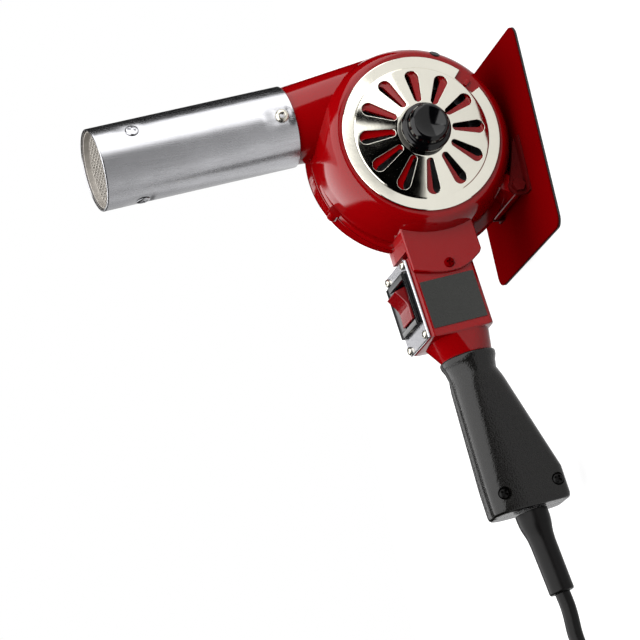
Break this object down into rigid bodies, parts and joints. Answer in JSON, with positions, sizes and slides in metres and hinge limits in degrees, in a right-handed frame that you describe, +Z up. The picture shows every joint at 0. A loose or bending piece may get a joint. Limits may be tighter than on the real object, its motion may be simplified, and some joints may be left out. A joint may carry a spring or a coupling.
{
  "type": "hot air tool",
  "caption": "Pistol-grip hot air tool: drum blower with a turning intake shutter, steel heater barrel, rocker switch, black grip, mains lead and a hinged rear plate it stands on.",
  "frame": {"origin": "centre of the stand's underside, on the bench", "axes": "+Z up from the bench, barrel pointing up; -X along the handle to the lead; -Y the side of the intake shutter"},
  "size_m": [0.5701, 0.1768, 0.2625],
  "materials": {
    "red_paint": "die-cast aluminium with gloss red paint",
    "red_steel": "sheet steel with gloss red paint",
    "barrel_steel": "bright drawn steel",
    "chrome": "bright plate",
    "zinc": "zinc-plated steel",
    "wheel_metal": "pressed aluminium",
    "core_iron": "stacked laminations",
    "brass": "plain",
    "copper": "enamelled copper wire",
    "phenolic": "gloss moulding",
    "black_plastic": "fine texture",
    "red_plastic": "gloss moulding",
    "rubber": "satin",
    "ceramic": "unglazed ceramic",
    "mica": "wrapped mica sheet"
  },
  "bodies": {
    "gun": {"shell_near": "red_paint", "shell_far": "red_paint", "shell_screw_1": "zinc", "shell_screw_2": "zinc", "collar_screw": "red_steel", "shoulder_plug": "rubber", "motor_plate": "wheel_metal", "bearing_near": "brass", "bearing_far": "brass", "stator_core": "core_iron", "winding_1": "copper", "winding_2": "copper", "motor_cover": "red_paint", "cover_screw_1": "zinc", "cover_screw_2": "zinc", "barrel": "barrel_steel", "barrel_screw_1": "zinc", "barrel_screw_2": "zinc", "screen_screw_1": "zinc", "screen_screw_2": "zinc", "screen_screw_3": "zinc", "outlet_screen": "barrel_steel", "mica_sleeve": "mica", "element_core": "ceramic", "heater_coil": "zinc", "switch_housing": "red_paint", "label_plate": "black_plastic", "switch_plate": "barrel_steel", "plate_screw_1": "zinc", "plate_screw_2": "zinc", "plate_screw_3": "zinc", "plate_screw_4": "zinc", "switch_body": "black_plastic", "grip_near": "black_plastic", "grip_far": "black_plastic", "grip_screw_1": "zinc", "grip_screw_2": "zinc", "strain_relief": "rubber", "cord_lead": "rubber", "cord_coil": "rubber", "cord_tail": "rubber", "cord_tie": "black_plastic", "plug_body": "rubber", "plug_blade_1": "brass", "plug_blade_2": "brass", "plug_ground_pin": "brass"},
    "shutter": {"shutter_disc": "chrome", "shutter_knob": "phenolic", "shutter_stud": "zinc"},
    "rotor": {"motor_shaft": "zinc", "rotor_core": "core_iron", "blower_wheel": "wheel_metal"},
    "rocker": {"rocker": "red_plastic"},
    "stand": {"stand_plate": "red_steel", "stand_pad": "rubber", "stand_ear_near": "red_steel", "stand_ear_far": "red_steel", "hinge_bolt": "zinc", "hinge_nut": "zinc"}
  },
  "joints": [
    {"name": "shutter_turn", "type": "hinge", "parent": "gun", "child": "shutter", "pos_m": [0.01167, 0, 0.06503], "axis": [0, 1, 0], "range_deg": [-7, 8]},
    {"name": "rotor_spin", "type": "hinge", "parent": "gun", "child": "rotor", "pos_m": [0.01167, 0, 0.06503], "axis": [0, 1, 0], "continuous": true},
    {"name": "rocker_tip", "type": "hinge", "parent": "gun", "child": "rocker", "pos_m": [-0.0836, 0, 0.08409], "axis": [0, 1, 0], "range_deg": [0, 28]},
    {"name": "stand_tilt", "type": "hinge", "parent": "gun", "child": "stand", "pos_m": [-0.0261, 0, 0.00865], "axis": [0, 1, 0], "range_deg": [0, 30]}
  ]
}
